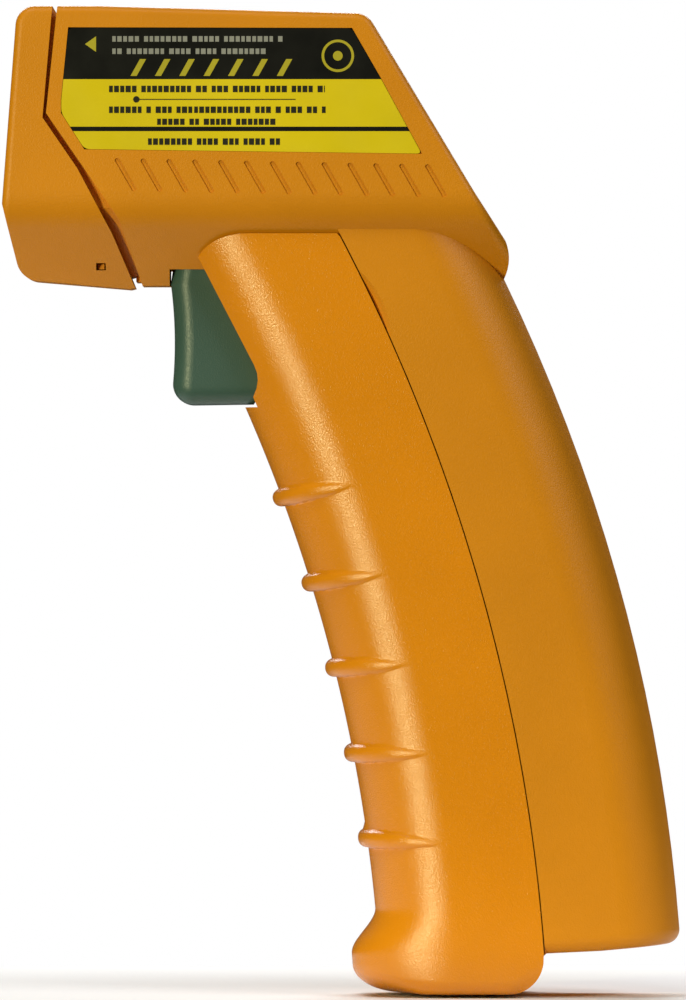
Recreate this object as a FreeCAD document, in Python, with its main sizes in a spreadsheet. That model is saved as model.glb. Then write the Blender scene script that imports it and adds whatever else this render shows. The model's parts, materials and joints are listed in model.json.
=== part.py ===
import FreeCAD, Part
import math
import os
import Sketcher

Vector = FreeCAD.Vector
X_AXIS = Vector(1, 0, 0)
Y_AXIS = Vector(0, 1, 0)
Z_AXIS = Vector(0, 0, 1)

# Driving dimensions in millimetres and degrees. The nose points to -X, the
# left side faces -Y, +Z is up, and the origin is the centre of the footprint
# of the whole instrument at the level of the toe.
SIZES = {
    # head: flat sides, 45 degree facets below them, flat floor
    "head_width": 38.0,
    "head_top": 152.4,
    "facet_top": 120.6,
    "head_floor": 109.5,
    "shell_wall": 2.0,
    "facet_round": 8.0,
    "corner_round": 3.0,
    "side_round": 1.1,
    # nose cap and the spigot of the housing that it snaps on
    "nose_wall": 1.6,
    "spigot_inset": 1.7,
    "spigot_wall": 1.3,
    "spigot_reach": 2.6,
    # grip: three long arcs seen from the side
    "grip_width": 33.0,
    "front_centre_x": -246.06,
    "front_centre_z": -10.73,
    "front_radius": 252.49,
    "seam_centre_x": -249.65,
    "seam_centre_z": -13.68,
    "seam_radius": 281.66,
    "back_centre_x": -226.40,
    "back_centre_z": -11.38,
    "back_radius": 279.60,
    "grip_top": 118.6,
    "front_round": 12.5,
    "back_round": 9.5,
    "seam_gap": 0.15,
    # grip cover, its ribs and its hinge
    "cover_wall": 1.8,
    "rib_rise": 1.4,
    "rib_first_z": 77.1,
    "rib_pitch": 13.2,
    "rib_tilt": 10.2,
    "rib_tilt_step": 3.2,
    "rib_thickness": 2.8,
    "rib_length": 11.5,
    "toe_front": 1.7,
    "toe_height": 11.5,
    "toe_plan_round": 14.5,
    "heel_round": 5.6,
    "hinge_x": 26.66,
    "hinge_z": 4.6,
    "pin_radius": 1.0,
    "pin_hole_radius": 1.04,
    "ear_inner": 7.0,
    "ear_thickness": 4.0,
    "ear_clearance": 0.35,
    # battery bay behind the cover
    "bay_setback": 3.0,
    "bulkhead": 1.6,
    "cheek_inner": 13.4,
    "cheek_outer": 14.3,
    "battery_x": 15.35,
    "battery_z": 58.1,
    "battery_tilt": -15.2,
    "battery_width": 26.5,
    "battery_depth": 17.5,
    "battery_body": 46.0,
    "battery_total": 48.5,
    # trigger
    "trigger_half": 10.0,
    "slot_half": 10.4,
    "trigger_pin_x": -21.5,
    "trigger_pin_z": 116.4,
    "arm_top": 114.8,
    "arm_bottom": 112.2,
    # optics on the nose axis
    "optic_z": 129.0,
    "lens_radius": 10.0,
    "laser_z": 145.4,
    # display on the sloping rear face
    "display_x": 12.55,
    "display_z": 137.05,
    "display_tilt": 59.04,
    # boards and screws
    "board_z": 121.0,
    "board_thickness": 1.6,
    # label recess
    "label_depth": 0.6,
    "label_thickness": 0.5,
    # grooves under the label
    "groove_first_x": -34.4,
    "groove_top_z": 128.6,
    "groove_pitch": 3.98,
    "groove_width": 0.9,
    "groove_depth": 0.28,
}
RIBS = 5
GROOVES = 13
# Screws that join the two halves: x, z of each axis.
SCREWS = [(-18.0, 136.0), (-3.0, 136.0), (21.5, 98.0), (34.0, 62.0), (42.0, 22.0)]
BOARD_SCREWS = [(-9.0, 12.8), (-9.0, -12.8), (4.0, 12.8), (4.0, -12.8)]

doc = FreeCAD.newDocument("Thermometer")
sheet = doc.addObject("Spreadsheet::Sheet", "Sizes")
for row, (alias, size) in enumerate(SIZES.items(), start=1):
    sheet.set(f"A{row}", alias)
    sheet.set(f"B{row}", str(size))
    sheet.setAlias(f"B{row}", alias)
doc.recompute()

parts = []


# ---------------------------------------------------------------- helpers
def value(size):
    """A number, or the present value of an expression over the sheet."""
    if isinstance(size, str):
        result = sheet.evalExpression(size)
        return float(getattr(result, "Value", result))
    return float(size)


def bind(thing, name, size):
    """Ties a property to an expression, or sets a plain number."""
    if isinstance(size, str):
        thing.setExpression(name, size)
    else:
        target = thing
        *path, last = name.split(".")
        for step in path:
            target = getattr(target, step)
        setattr(target, last, size)


def place(thing, x=0.0, y=0.0, z=0.0, axis=Z_AXIS, angle=0.0):
    """Puts a primitive at a point, turned about an axis through it."""
    base = Vector(value(x), value(y), value(z))
    thing.Placement = FreeCAD.Placement(base, FreeCAD.Rotation(axis, value(angle)))
    for name, size in (("x", x), ("y", y), ("z", z)):
        if isinstance(size, str):
            thing.setExpression(f"Placement.Base.{name}", size)
    return thing


def arc_x(arc, z, shift=0.0, growth=0.0):
    """Expression for the x of one of the grip's arcs at height z, with the
    arc moved along X by the shift and its radius grown."""
    centre = f"Sizes.{arc}_centre_x + ({shift})"
    radius = f"(Sizes.{arc}_radius + ({growth}))"
    return f"{centre} + sqrt({radius} ^ 2 - ({z} - Sizes.{arc}_centre_z) ^ 2)"


def draw(sketch, loops):
    """Fills a sketch with closed loops. A corner is (x, z), or (x, z, radius,
    side) where the edge that leaves it is an arc with its centre to the left
    (side 1) or to the right (side -1) of the way round the loop."""
    for loop in loops:
        spots = [Vector(value(c[0]), value(c[1]), 0) for c in loop]
        ends = []
        for i, corner in enumerate(loop):
            start = spots[i]
            stop = spots[(i + 1) % len(loop)]
            if len(corner) == 2:
                edge = sketch.addGeometry(Part.LineSegment(start, stop), False)
                ends.append((edge, 1, 2))
                continue
            radius = value(corner[2])
            chord = stop - start
            left = Vector(-chord.y, chord.x, 0).normalize()
            rise = math.sqrt(max(radius ** 2 - chord.Length ** 2 / 4, 0))
            centre = (start + stop) * 0.5 + left * rise * corner[3]
            first, last = (start, stop) if corner[3] > 0 else (stop, start)
            angles = [math.atan2(p.y - centre.y, p.x - centre.x) for p in (first, last)]
            circle = Part.Circle(centre, Z_AXIS, radius)
            edge = sketch.addGeometry(Part.ArcOfCircle(circle, *angles), False)
            ends.append((edge, 1, 2) if corner[3] > 0 else (edge, 2, 1))
            tie = sketch.addConstraint(Sketcher.Constraint("Radius", edge, radius))
            if isinstance(corner[2], str):
                sketch.setExpression(f"Constraints[{tie}]", corner[2])
        for i, corner in enumerate(loop):
            edge, begin, _ = ends[i]
            before, _, finish = ends[i - 1]
            sketch.addConstraint(Sketcher.Constraint("Coincident", before, finish, edge, begin))
            for kind, size in (("DistanceX", corner[0]), ("DistanceY", corner[1])):
                rule = Sketcher.Constraint(kind, -1, 1, edge, begin, value(size))
                tie = sketch.addConstraint(rule)
                if isinstance(size, str):
                    sketch.setExpression(f"Constraints[{tie}]", size)
    return sketch


def new_body(name):
    return doc.addObject("PartDesign::Body", name)


def sketch_in(body, name, role, loops):
    """A sketch on one of the body's own origin planes."""
    sketch = body.newObject("Sketcher::SketchObject", name)
    plane = [f for f in body.Origin.OriginFeatures if f.Role == role][0]
    sketch.AttachmentSupport = [(plane, "")]
    sketch.MapMode = "FlatFace"
    doc.recompute()
    return draw(sketch, loops)


def pad(body, name, role, loops, length, side="Symmetric"):
    feature = body.newObject("PartDesign::Pad", name)
    feature.Profile = sketch_in(body, name + "_sketch", role, loops)
    feature.SideType = side
    bind(feature, "Length", length)
    doc.recompute()
    return feature


def pocket(body, name, role, loops):
    """Cuts the loops right through the body, both ways from their plane."""
    before = body.Tip.Shape.Volume
    feature = body.newObject("PartDesign::Pocket", name)
    feature.Profile = sketch_in(body, name + "_sketch", role, loops)
    feature.SideType = "Symmetric"
    feature.Type = "ThroughAll"
    doc.recompute()
    assert feature.Shape.Volume < before, name
    return feature


def revolve(body, name, role, loops, axis_role):
    feature = body.newObject("PartDesign::Revolution", name)
    feature.Profile = sketch_in(body, name + "_sketch", role, loops)
    axis = [f for f in body.Origin.OriginFeatures if f.Role == axis_role][0]
    feature.ReferenceAxis = (axis, [""])
    feature.Angle = 360
    doc.recompute()
    return feature


def round_edges(body, name, radius, chosen):
    """Fillets the edges of the body for which chosen(edge) is true."""
    base = body.Tip
    names = [f"Edge{i}" for i, e in enumerate(base.Shape.Edges, start=1) if chosen(e)]
    feature = body.newObject("PartDesign::Fillet", name)
    feature.Base = (base, names)
    bind(feature, "Radius", radius)
    doc.recompute()
    return feature


def middle(edge):
    return edge.valueAt((edge.FirstParameter + edge.LastParameter) / 2)


def near(x=None, y=None, z=None, slack=0.3):
    """Test for an edge whose middle lies at the given coordinates; y counts
    on both sides."""
    def chosen(edge):
        spot = middle(edge)
        return all(
            wanted is None or abs(found - wanted) < slack
            for found, wanted in ((spot.x, x), (abs(spot.y), y), (spot.z, z))
        )
    return chosen


def box(name, x, y, z):
    thing = doc.addObject("Part::Box", name)
    for side, size in (("Length", x), ("Width", y), ("Height", z)):
        bind(thing, side, size)
    return thing


def cylinder(name, radius, length):
    thing = doc.addObject("Part::Cylinder", name)
    bind(thing, "Radius", radius)
    bind(thing, "Height", length)
    return thing


def along_y(name, radius, x, z, start, stop):
    """A cylinder along Y between two stations."""
    thing = cylinder(name, radius, stop - start)
    return place(thing, x, start, z, X_AXIS, -90)


def along_x(name, radius, start, length, z, y=0.0):
    thing = cylinder(name, radius, length)
    return place(thing, start, y, z, Y_AXIS, 90)


def prism(name, loops, width):
    """A solid of the given outline in the XZ plane, centred on Y = 0."""
    body = new_body(name)
    pad(body, name + "_pad", "XZ_Plane", loops, width)
    return body


def fuse(name, things):
    thing = doc.addObject("Part::MultiFuse", name)
    thing.Shapes = things
    thing.Refine = True
    doc.recompute()
    return thing


def cut(name, base, tool):
    thing = doc.addObject("Part::Cut", name)
    thing.Base = base
    thing.Tool = tool
    thing.Refine = True
    doc.recompute()
    return thing


def common(name, things):
    thing = doc.addObject("Part::MultiCommon", name)
    thing.Shapes = things
    thing.Refine = True
    doc.recompute()
    return thing


def keep(thing, label):
    thing.Label = label
    parts.append(thing)
    return thing


# ------------------------------------------------------- outer envelopes
def head_outline():
    return [
        (-49.9, "Sizes.head_top"),
        (-52.22, 122.0),
        (-49.47, 110.46),
        (-32.6, 109.0),
        (-30.6, "Sizes.head_floor"),
        (24.4, "Sizes.head_floor"),
        (25.2, 110.5, 7.0, 1),
        (25.35, 116.4),
        (20.7, 123.5),
        (4.03, 151.25),
        (-37.0, "Sizes.head_top"),
    ]


def facet_wedge(side, inset):
    """The corner of space outside one of the 45 degree facets."""
    level = f"Sizes.facet_top - Sizes.head_width / 2 + ({inset}) * sqrt(2)"
    outside = 22.0
    below = 100.0
    return [
        (side * outside, f"{level} + {outside}"),
        (side * outside, below),
        (f"{side} * ({below} - ({level}))", below),
    ]


def round_facet(side):
    """The space outside a facet that blends into the flat side by an arc."""
    half = value("Sizes.head_width / 2")
    radius = value("Sizes.facet_round")
    reach = radius * math.tan(math.radians(22.5))
    top = value("Sizes.facet_top")
    low = (side * (half - reach * math.sqrt(0.5)), top - reach * math.sqrt(0.5))
    below = 100.0
    foot = (side * (half - (top - below)), below)
    return [
        (side * half, top + reach, radius, -side),
        low,
        foot,
        (side * 22.0, below),
        (side * 22.0, top + reach),
    ]


def head_block():
    """The head with its nose: side outline, facets and round edges."""
    body = new_body("head_block")
    pad(body, "head_pad", "XZ_Plane", [head_outline()], "Sizes.head_width")
    for side in (1, -1):
        pocket(body, f"facet_{side + 1}", "YZ_Plane", [round_facet(side)])
    half = value("Sizes.head_width / 2")
    facet_top = value("Sizes.facet_top + Sizes.facet_round * tan(22.5)")
    round_edges(body, "front_top_round", "Sizes.corner_round", near(-49.9, 0, 152.4))
    round_edges(body, "rear_top_round", "Sizes.corner_round", near(4.03, 0, 151.25))
    round_edges(body, "front_low_round", 3.4, near(-49.47, 0, 110.46))
    round_edges(
        body, "rim_round", "Sizes.side_round",
        lambda e: near(y=half)(e) and not near(z=facet_top)(e),
    )
    return body


def head_offset(name, inset):
    """The head block with all its faces moved inwards, and sharp edges."""
    sketch = doc.addObject("Sketcher::SketchObject", name + "_outline")
    sketch.Placement = FreeCAD.Placement(Vector(), FreeCAD.Rotation(X_AXIS, 90))
    draw(sketch, [head_outline()])
    ring = doc.addObject("Part::Offset2D", name + "_ring")
    ring.Source = sketch
    ring.Join = 2
    ring.setExpression("Value", f"-({inset})")
    block = doc.addObject("Part::Extrusion", name + "_block")
    block.Base = ring
    block.DirMode = "Normal"
    block.Symmetric = True
    block.Solid = True
    block.setExpression("LengthFwd", f"Sizes.head_width - 2 * ({inset})")
    wedges = new_body(name + "_wedges")
    loops = [facet_wedge(side, inset) for side in (1, -1)]
    pad(wedges, name + "_wedges_pad", "YZ_Plane", loops, 140.0)
    return cut(name, block, wedges)


def grip_tube(name, inset, shift=0.0):
    """The tube between the front and the back arc, with its faces moved
    inwards by the inset, and its front alone by the shift."""
    top = "Sizes.grip_top"
    low = -1.0
    outline = [
        (arc_x("front", low, shift, inset), low, f"Sizes.front_radius + ({inset})", 1),
        (arc_x("front", top, shift, inset), top),
        (arc_x("back", top, 0.0, f"-({inset})"), top, f"Sizes.back_radius - ({inset})", -1),
        (arc_x("back", low, 0.0, f"-({inset})"), low),
    ]
    body = new_body(name)
    pad(body, name + "_pad", "XZ_Plane", [outline], f"Sizes.grip_width - 2 * ({inset})")
    half = value(f"Sizes.grip_width / 2 - ({inset})")
    split = 20.0
    long = 100.0
    for end, radius, sign in (("front", "Sizes.front_round", -1), ("back", "Sizes.back_round", 1)):
        round_edges(
            body, f"{name}_{end}_round", f"{radius} - ({inset})",
            lambda e: near(y=half)(e) and e.Length > long and sign * (middle(e).x - split) > 0,
        )
    return body


def seam_side(name, shift, front, low=-5.0, high=125.0):
    """A slab of space in front of the seam arc, or behind it. The shift moves
    its curved face along the arc's radius."""
    bound = -70.0 if front else 70.0
    radius = f"Sizes.seam_radius + ({shift})"
    foot = (arc_x("seam", low, 0.0, shift), low)
    peak = (arc_x("seam", high, 0.0, shift), high)
    if front:
        outline = [(bound, low), foot + (radius, 1), peak, (bound, high)]
    else:
        outline = [foot, (bound, low), (bound, high), peak + (radius, -1)]
    return prism(name, [outline], 60.0)


def shell_floor(name, lift):
    """Space above the lower end of the rear shell."""
    outline = [
        (28.0, 6.2 + lift),
        (31.5, 6.4 + lift),
        (40.0, 6.8 + lift),
        (50.0, 7.7 + lift),
        (60.0, 8.6 + lift),
        (60.0, 130.0),
        (-20.0, 130.0),
        (-20.0, 6.2 + lift),
    ]
    return prism(name, [outline], 60.0)


def gap_side(name, shift, nose):
    """Space in front of the nose cap's rear edge, or behind the head's front
    edge. The two edges are 0.7 to 1.5 mm apart."""
    if nose:
        outline = [
            (-44.3 + shift, 154.0),
            (-60.0, 154.0),
            (-60.0, 106.0),
            (-31.4 + shift, 106.0),
            (-31.6 + shift, 108.6),
            (-35.3 + shift, 117.4),
            (-40.6 + shift, 127.4),
            (-45.95 + shift, 135.2),
        ]
    else:
        outline = [
            (-43.5 + shift, 154.0),
            (-45.4 + shift, 135.9),
            (-34.2 + shift, 119.6),
            (-30.3 + shift, 108.3),
            (-30.0 + shift, 106.0),
            (60.0, 106.0),
            (60.0, 154.0),
        ]
    return prism(name, [outline], 60.0)


# --------------------------------------------------------------- housing
def housing_outer():
    tube = common(
        "rear_shell_block",
        [grip, seam_side("behind_seam", "Sizes.seam_gap", False), shell_floor("above_floor", 0.0)],
    )
    rear = doc.addObject("Part::Fillet", "rear_shell_round")
    rear.Base = tube
    low = [
        (i, 2.2, 2.2)
        for i, e in enumerate(tube.Shape.Edges, start=1)
        if middle(e).z < 12 and middle(e).x > 46
    ]
    rear.Edges = low
    doc.recompute()
    front = common("head_behind_gap", [head, gap_side("behind_gap", 0.0, False)])
    return fuse("housing_block", [front, rear])


def housing_cavity():
    in_head = common(
        "head_cavity",
        [head_offset("head_inner", "Sizes.shell_wall"), gap_side("behind_gap_far", -20.0, False)],
    )
    in_grip = common(
        "grip_cavity",
        [
            grip_tube("grip_inner", "Sizes.shell_wall"),
            seam_side("behind_seam_inner", "Sizes.seam_gap - 0.5", False),
            shell_floor("above_floor_inner", value("Sizes.shell_wall")),
        ],
    )
    return fuse("housing_cavity", [in_head, in_grip])


def spigot():
    """The collar that the nose cap snaps on, set in from the outside."""
    outer = head_offset("spigot_outer", "Sizes.spigot_inset")
    inner = head_offset("spigot_inner", "Sizes.spigot_inset + Sizes.spigot_wall")
    zone = common(
        "spigot_zone",
        [
            gap_side("spigot_rear", 3.0, True),
            gap_side("spigot_front", -value("Sizes.spigot_reach"), False),
        ],
    )
    tab_zone = box_between("tab_zone", (-39.4, -20.0, 109.0), (-33.0, 20.0, 115.5))
    ring = cut("spigot_ring", outer, inner)
    collar = common("spigot_collar", [ring, fuse("spigot_zones", [zone, tab_zone])])
    barbs = [
        box_between("barb_right", (-37.6, 7.5, 112.0), (-36.6, 9.6, 112.8)),
        box_between("barb_left", (-37.6, -9.6, 112.0), (-36.6, -7.5, 112.8)),
    ]
    sill = box_between("spigot_sill", (-31.7, -7.0, 110.1), (-28.5, 7.0, 111.8))
    return fuse("spigot", [collar, sill] + barbs)


def seam_lip():
    """A tongue along the shell's front edges that sits inside the cover."""
    inner = grip_tube("lip_inner", "Sizes.cover_wall + 1.2")
    tongue = common(
        "lip_tongue",
        [
            cut("lip_band", grip_tube("lip_outer", "Sizes.cover_wall + 0.18"), inner),
            seam_side("lip_front", -1.6, False),
            seam_side("lip_middle", 0.6, True),
        ],
    )
    root = common(
        "lip_root",
        [
            cut("lip_root_band", grip_tube("lip_root_outer", "Sizes.shell_wall / 2"), inner),
            seam_side("lip_root_front", "Sizes.seam_gap", False),
            seam_side("lip_root_rear", 2.2, True),
        ],
    )
    zone = box_between("lip_zone", (-20.0, -20.0, 16.0), (60.0, 20.0, 112.5))
    return common("seam_lip", [fuse("lip_whole", [tongue, root]), zone])


def bulkhead():
    """The wall between the battery bay and the rear cavity."""
    near_face = "Sizes.seam_gap + Sizes.bay_setback"
    wall = common(
        "bulkhead",
        [
            grip_tube("bulkhead_inner", "Sizes.shell_wall / 2"),
            seam_side("bulkhead_front", near_face, False),
            seam_side("bulkhead_rear", near_face + " + Sizes.bulkhead", True),
            box_between("bulkhead_zone", (-20, -20, 7.5), (60, 20, 113.0)),
        ],
    )
    return wall


def box_between(name, low, high):
    """A box from its lowest to its highest corner."""
    thing = box(name, high[0] - low[0], high[1] - low[1], high[2] - low[2])
    return place(thing, *[float(v) for v in low])


def in_battery_frame(name, low, high):
    """A box in the battery's own frame, whose Z runs along the battery."""
    thing = box(name, high[0] - low[0], high[1] - low[1], high[2] - low[2])
    turn = FreeCAD.Rotation(Y_AXIS, value("Sizes.battery_tilt"))
    origin = Vector(value("Sizes.battery_x"), 0, value("Sizes.battery_z"))
    thing.Placement = FreeCAD.Placement(origin + turn.multVec(Vector(*low)), turn)
    return thing


def cheeks():
    """Two side walls that hold the battery when the cover is open."""
    inner = value("Sizes.cheek_inner")
    outer = value("Sizes.cheek_outer")
    sides = [
        in_battery_frame("cheek_right", (-4.0, inner, -22.0), (12.5, outer + 0.6, 23.0)),
        in_battery_frame("cheek_left", (-4.0, -outer - 0.6, -22.0), (12.5, -inner, 23.0)),
    ]
    walls = common(
        "cheek_walls",
        [
            fuse("cheek_slabs", sides),
            prism_between("cheek_limit", value("Sizes.cheek_outer")),
        ],
    )
    backs = common(
        "cheek_backs",
        [
            fuse("cheek_slabs_back", [copy_box(s) for s in sides]),
            seam_side("cheek_behind", "Sizes.seam_gap", False),
        ],
    )
    return fuse("cheeks", [walls, backs])


def prism_between(name, half):
    return box_between(name, (-60, -half, -10), (70, half, 130))


def copy_box(source):
    twin = box(source.Name + "_twin", source.Length.Value, source.Width.Value, source.Height.Value)
    twin.Placement = source.Placement
    return twin


def ledge():
    """The shelf that the battery stands on."""
    half = value("Sizes.cheek_outer")
    low = -value("Sizes.battery_total") / 2 - 1.9
    return in_battery_frame("ledge", (-6.5, -half, low), (13.5, half, low + 1.6))


def hinge_ears():
    """Two ears at the foot of the rear shell that carry the cover's pin."""
    x = value("Sizes.hinge_x")
    z = value("Sizes.hinge_z")
    web = [
        (x - 2.2, z + 0.9),
        (x - 0.9, z - 2.2),
        (x + 1.2, z - 2.1),
        (x + 6.4, 7.6),
        (x + 8.6, 7.6),
        (x + 8.6, 15.0),
        (x + 7.4, 15.0),
    ]
    inner = value("Sizes.ear_inner")
    thickness = value("Sizes.ear_thickness")
    made = []
    for side, start in (("right", inner), ("left", -inner - thickness)):
        body = new_body(f"ear_{side}")
        pad(body, f"ear_{side}_pad", "XZ_Plane", [web], thickness)
        body.Placement.Base.y = start + thickness / 2
        made.append(body)
        made.append(along_y(f"ear_{side}_eye", 2.3, x, z, start, start + thickness))
    return fuse("hinge_ears", made)


def screw_posts():
    """Posts that meet at the parting plane, one pair for each screw."""
    return fuse(
        "screw_posts",
        [along_y(f"post_{i}", 3.1, x, z, -18.0, 18.0) for i, (x, z) in enumerate(SCREWS)],
    )


def screw_holes():
    """Pilot holes in the left posts, clearance and head room in the right."""
    made = []
    for i, (x, z) in enumerate(SCREWS):
        made.append(along_y(f"pilot_{i}", 1.25, x, z, -11.0, 0.0))
        made.append(along_y(f"clearance_{i}", 1.5, x, z, 0.0, 3.0))
        made.append(along_y(f"head_room_{i}", 2.2, x, z, 3.0, 22.0))
    return fuse("screw_holes", made)


def board_posts():
    """Standoffs from the facet walls up to the main board."""
    made = []
    for i, (x, y) in enumerate(BOARD_SCREWS):
        post = cylinder(f"standoff_{i}", 2.1, 12.0)
        made.append(place(post, x, y, value("Sizes.board_z") - 12.0))
    return fuse("standoffs", made)


def board_holes():
    made = []
    for i, (x, y) in enumerate(BOARD_SCREWS):
        hole = cylinder(f"standoff_hole_{i}", 0.95, 4.6)
        made.append(place(hole, x, y, value("Sizes.board_z") - 4.6))
    return fuse("standoff_holes", made)


def pin_bosses():
    x = value("Sizes.trigger_pin_x")
    z = value("Sizes.trigger_pin_z")
    half = value("Sizes.slot_half")
    return fuse(
        "pin_bosses",
        [
            along_y("boss_right", 2.6, x, z, half, half + 5.0),
            along_y("boss_left", 2.6, x, z, -half - 5.0, -half),
        ],
    )


def display_frame(name, low, high):
    """A box in the display's frame: X down the face, Y across, Z outwards."""
    thing = box(name, high[0] - low[0], high[1] - low[1], high[2] - low[2])
    turn = FreeCAD.Rotation(Y_AXIS, value("Sizes.display_tilt"))
    origin = Vector(value("Sizes.display_x"), 0, value("Sizes.display_z"))
    thing.Placement = FreeCAD.Placement(origin + turn.multVec(Vector(*low)), turn)
    return thing


def label_outline():
    return [
        (-42.0, 149.1),
        (-43.1, 138.0),
        (-43.1, 135.9),
        (-39.5, 130.3),
        (12.5, 129.6),
        (6.3, 141.0),
        (1.7, 149.0),
    ]


def label_recesses():
    """A shallow pocket for the label on each side of the head."""
    half = value("Sizes.head_width / 2")
    depth = value("Sizes.label_depth")
    block = prism("label_block", [label_outline()], 60.0)
    core = prism_between("label_core", half - depth)
    return cut("label_recesses", block, core)


def grooves():
    """Slanted grooves under each label, with round ends."""
    width = value("Sizes.groove_width")
    radius = width / 2
    loops = []
    for i in range(GROOVES):
        x = f"Sizes.groove_first_x + {i} * Sizes.groove_pitch"
        z = f"Sizes.groove_top_z - {i * 0.08:.2f}"
        loops.append(
            [
                (f"{x} - {radius}", z),
                (f"{x} + {2.5 - radius}", f"{z} - 4.37", "Sizes.groove_width / 2 + 0.01", 1),
                (f"{x} + {2.5 + radius}", f"{z} - 4.37"),
                (f"{x} + {radius}", z, "Sizes.groove_width / 2 + 0.01", 1),
            ]
        )
    block = prism("groove_block", loops, 60.0)
    core = prism_between("groove_core", value("Sizes.head_width / 2 - Sizes.groove_depth"))
    return cut("grooves", block, core)


def nail_scoops():
    """A shallow hollow for a fingernail behind the seam, on each side."""
    z = 106.3
    rise = z - value("Sizes.seam_centre_z")
    radius = value("Sizes.seam_radius")
    out = Vector(math.sqrt(radius ** 2 - rise ** 2), 0, rise) * (1 / radius)
    seam = Vector(value("Sizes.seam_centre_x"), 0, value("Sizes.seam_centre_z")) + out * radius
    reach = 14.2
    width = 1.4
    lift = 20.0
    centre = seam + out * (width - reach)
    balls = []
    for side in (1, -1):
        ball = doc.addObject("Part::Sphere", f"scoop_ball_{side + 1}")
        ball.Radius = math.hypot(reach, lift)
        balls.append(place(ball, centre.x, side * (value("Sizes.grip_width / 2") + lift), centre.z))
    zone = seam_side("scoop_zone", "0", False)
    return common("nail_scoops", [fuse("scoop_balls", balls), zone])


def housing_openings():
    half = value("Sizes.slot_half")
    x = value("Sizes.trigger_pin_x")
    z = value("Sizes.trigger_pin_z")
    hole = value("Sizes.pin_hole_radius")
    hinge_x = value("Sizes.hinge_x")
    hinge_z = value("Sizes.hinge_z")
    reach = value("Sizes.ear_inner + Sizes.ear_thickness") + 1
    return [
        box_between("trigger_slot", (-26.5, -half, 104.0), (-9.5, half, 119.3)),
        along_y("trigger_pin_hole", hole, x, z, -12.1, 12.1),
        along_y("hinge_hole", hole, hinge_x, hinge_z, -reach, reach),
        display_frame("bezel_recess", (-13.6, -17.1, -1.0), (13.0, 17.1, 3.0)),
        display_frame("display_hole", (-10.4, -14.6, -6.0), (9.6, 14.6, 3.0)),
        place(cylinder("lead_hole", 2.7, 10.0), 9.0, 7.0, 90.2, Y_AXIS, 50.0),
        box_between("switch_window", (2.0, -8.1, 92.0), (22.0, 0.1, 95.6)),
        screw_holes(),
        board_holes(),
        label_recesses(),
        grooves(),
        nail_scoops(),
    ]


def housing():
    outer = housing_outer()
    hollow = cut("housing_hollow", outer, housing_cavity())
    inner = fuse(
        "housing_inner",
        [bulkhead(), ledge(), screw_posts(), board_posts(), pin_bosses()],
    )
    trimmed = common("housing_inner_trimmed", [inner, outer])
    whole = fuse(
        "housing_whole",
        [hollow, trimmed, spigot(), cheeks(), hinge_ears(), seam_lip()],
    )
    return cut("housing_cut", whole, fuse("housing_openings", housing_openings()))


def halves(whole):
    """Splits the housing at the parting plane Y = 0."""
    for side, low, high in (("left", -40, 0), ("right", 0, 40)):
        space = box_between(f"{side}_space", (-80, low, -10), (80, high, 160))
        keep(common(f"{side}_half", [whole, space]), f"{side}_housing")


# -------------------------------------------------------------- nose cap
def nose_cap():
    zone = gap_side("before_gap", 0.0, True)
    hollow = cut(
        "nose_hollow",
        common("nose_block", [head, zone]),
        head_offset("nose_inner", "Sizes.nose_wall"),
    )
    lens = value("Sizes.lens_radius")
    optic = value("Sizes.optic_z")
    laser = value("Sizes.laser_z")
    openings = [
        along_x("lens_opening", lens + 1.0, -56.0, 8.0, optic),
        along_x("laser_opening", 2.0, -56.0, 8.0, laser),
    ]
    for side in (1, -1):
        window = box(f"snap_window_{side + 1}", 1.5, 10.0, 1.1)
        openings.append(place(window, -37.85, side * 12.0 - 5.0, 111.85))
    return keep(cut("nose_cut", hollow, fuse("nose_openings", openings)), "nose_cap")


# ---------------------------------------------------------------- optics
def ring_of(name, inner, outer, start, length, z):
    """A plain ring round an axis parallel to X."""
    return cut(
        name,
        along_x(name + "_outer", outer, start, length, z),
        along_x(name + "_inner", inner, start - 1, length + 2, z),
    )


def lens_tube():
    """Funnel between the lens seat and the sensor, turned about its axis."""
    lens = value("Sizes.lens_radius")
    body = new_body("lens_tube_body")
    outline = [
        (-48.2, lens + 2.6),
        (-48.2, lens + 1.2),
        (-45.75, lens + 1.2),
        (-45.75, lens - 0.6),
        (-44.5, lens - 0.8),
        (-31.0, 4.7),
        (-24.6, 4.7),
        (-24.6, 6.2),
        (-30.0, 6.2),
        (-33.0, 8.2),
        (-44.5, lens + 2.6),
    ]
    revolve(body, "lens_tube_turned", "XZ_Plane", [outline], "X_Axis")
    body.Placement.Base.z = value("Sizes.optic_z")
    return keep(body, "lens_tube")


def optics():
    lens = value("Sizes.lens_radius")
    z = value("Sizes.optic_z")
    laser = value("Sizes.laser_z")
    lens_tube()
    keep(along_x("lens_plate", lens + 1.0, -46.7, 0.9, z), "lens")
    ring = ring_of("lens_ring_body", lens - 0.4, lens + 1.1, -45.8 - 2.3, 1.35, z)
    keep(ring, "lens_ring")
    can = fuse(
        "sensor_can_body",
        [along_x("can_cap", 4.1, -29.4, 4.0, z), along_x("can_rim", 4.6, -25.4, 0.7, z)],
    )
    keep(can, "sensor_can")
    board = box("sensor_board", 1.2, 22.0, 18.0)
    keep(place(board, -24.5, -11.0, z - 6.0), "sensor_board")
    barrel = cut(
        "laser_barrel_body",
        along_x("barrel", 3.1, -48.5, 16.1, laser),
        along_x("barrel_mouth", 2.2, -50.0, 3.4, laser),
    )
    keep(barrel, "laser_module")
    keep(along_x("laser_lens_plate", 2.1, -48.1, 1.2, laser), "laser_lens")


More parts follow.
